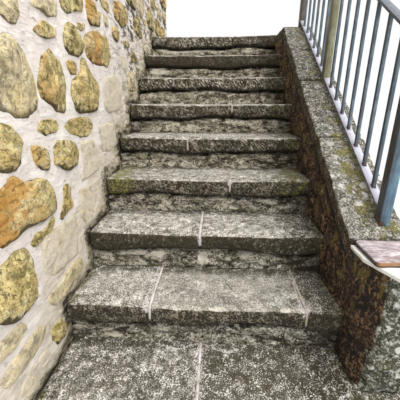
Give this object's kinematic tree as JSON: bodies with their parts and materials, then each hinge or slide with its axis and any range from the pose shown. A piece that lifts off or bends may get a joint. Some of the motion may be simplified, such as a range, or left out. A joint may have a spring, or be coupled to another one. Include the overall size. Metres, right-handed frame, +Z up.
{
  "type": "outdoor stone steps",
  "caption": "Straight flight of worn stone slab steps between a rubble wall and a raking parapet with coping stones, an end pier and a steel railing.",
  "frame": {"origin": "on the ground, under the middle of the bottom step", "axes": "+X to the right, +Y up the flight, +Z up"},
  "size_m": [1.857, 3.308, 2.61],
  "materials": {
    "tread_stone": "rough, worn and weathered",
    "riser_rubble": "rough rubble and mortar",
    "landing_stone": "rough, weathered",
    "wall_rubble": "rough rubble in pale mortar",
    "parapet_rubble": "rough, damp and dark",
    "pier_rubble": "rough rubble with lichen",
    "pale_slab": "smooth, pale",
    "flagstone": "riven, weathered",
    "coping_stone": "rough with lichen and moss",
    "blue_paint": "weathered gloss paint",
    "olive_paint": "faded, rusty paint",
    "brown_paint": "dark, rusty paint",
    "pale_paint": "faded grey-blue paint",
    "baluster_paint": "weathered grey-blue paint"
  },
  "bodies": {
    "root": {"riser_course_1": "riser_rubble", "riser_course_2": "riser_rubble", "riser_course_3": "riser_rubble", "riser_course_4": "riser_rubble", "riser_course_5": "riser_rubble", "riser_course_6": "riser_rubble", "riser_course_7": "riser_rubble", "riser_course_8": "riser_rubble", "riser_course_9": "riser_rubble", "tread_1": "tread_stone", "tread_2": "tread_stone", "tread_3": "tread_stone", "tread_4": "tread_stone", "tread_5": "tread_stone", "tread_6": "tread_stone", "tread_7": "tread_stone", "tread_8": "tread_stone", "tread_9": "tread_stone", "landing_front_flags": "landing_stone", "landing_back_flags": "landing_stone", "left_wall": "wall_rubble", "right_wall": "parapet_rubble", "end_pier": "pier_rubble", "pier_bed_slab": "pale_slab", "pier_flagstone": "flagstone", "coping_1": "coping_stone", "coping_2": "coping_stone", "coping_3": "coping_stone", "coping_4": "coping_stone", "level_coping": "coping_stone", "near_post": "blue_paint", "middle_post": "olive_paint", "top_post": "brown_paint", "lower_bottom_bar": "pale_paint", "upper_bottom_bar": "pale_paint", "handrail": "pale_paint", "lower_baluster_row": "baluster_paint", "upper_baluster_row": "baluster_paint"}
  },
  "joints": []
}
